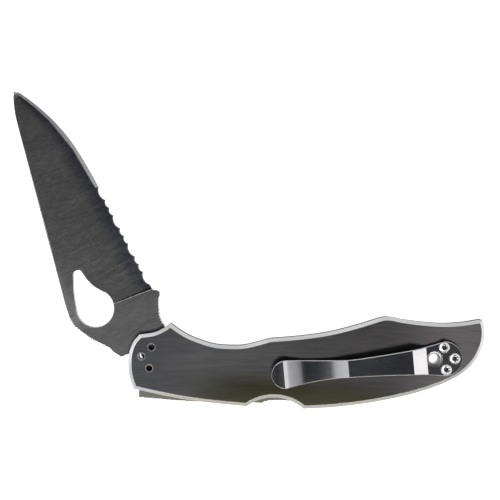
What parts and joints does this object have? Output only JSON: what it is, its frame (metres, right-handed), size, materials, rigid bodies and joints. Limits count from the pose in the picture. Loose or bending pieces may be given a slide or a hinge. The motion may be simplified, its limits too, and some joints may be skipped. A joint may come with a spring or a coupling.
{
  "type": "folding lock-back knife",
  "caption": "All-steel one-hand folding lock-back knife with a part-serrated blade, thumb hole, pocket clip and lanyard tube, lying half open.",
  "frame": {"origin": "the blade pivot's axis at the rear slab's outer face, on which the knife lies", "axes": "+X along the handle from the pivot to the butt, +Y towards the blade slot, +Z through the thickness towards the clip side"},
  "size_m": [0.1628, 0.11, 0.011],
  "materials": {
    "slab_steel": "fine lengthwise brushing, bright ground chamfers",
    "blade_steel": "satin, ground across the blade",
    "lock_steel": "satin",
    "spring_steel": "blued satin",
    "pin_steel": "ground",
    "bronze": "oil-darkened bronze",
    "tube_steel": "polished, flared ends",
    "clip_steel": "bright polished spring steel",
    "screw_steel": "bright turned heads"
  },
  "bodies": {
    "handle": {"clip_side_slab": "slab_steel", "rear_slab": "slab_steel", "back_spacer": "lock_steel", "lock_spring": "spring_steel", "pivot_pin": "pin_steel", "pivot_bushing": "bronze", "pivot_washer_clip_side": "bronze", "pivot_washer_rear": "bronze", "rocker_pin": "pin_steel", "spacer_pin_front": "pin_steel", "spacer_pin_rear": "pin_steel", "lanyard_tube": "tube_steel", "pocket_clip": "clip_steel", "clip_screw_1": "screw_steel", "clip_screw_2": "screw_steel", "clip_screw_3": "screw_steel"},
    "blade": {"blade": "blade_steel"},
    "lock_bar": {"lock_bar": "lock_steel"}
  },
  "joints": [
    {"name": "blade_swing", "type": "hinge", "parent": "handle", "child": "blade", "pos_m": [0, 0, 0.00385], "axis": [0, 0, 1], "range_deg": [-112, 63]},
    {"name": "lock_bar_rock", "type": "hinge", "parent": "handle", "child": "lock_bar", "pos_m": [0.0169, -0.0114, 0.00385], "axis": [0, 0, 1], "range_deg": [0, 1.6], "stiffness_Nm_per_rad": 3, "springref_deg": -4.58}
  ]
}
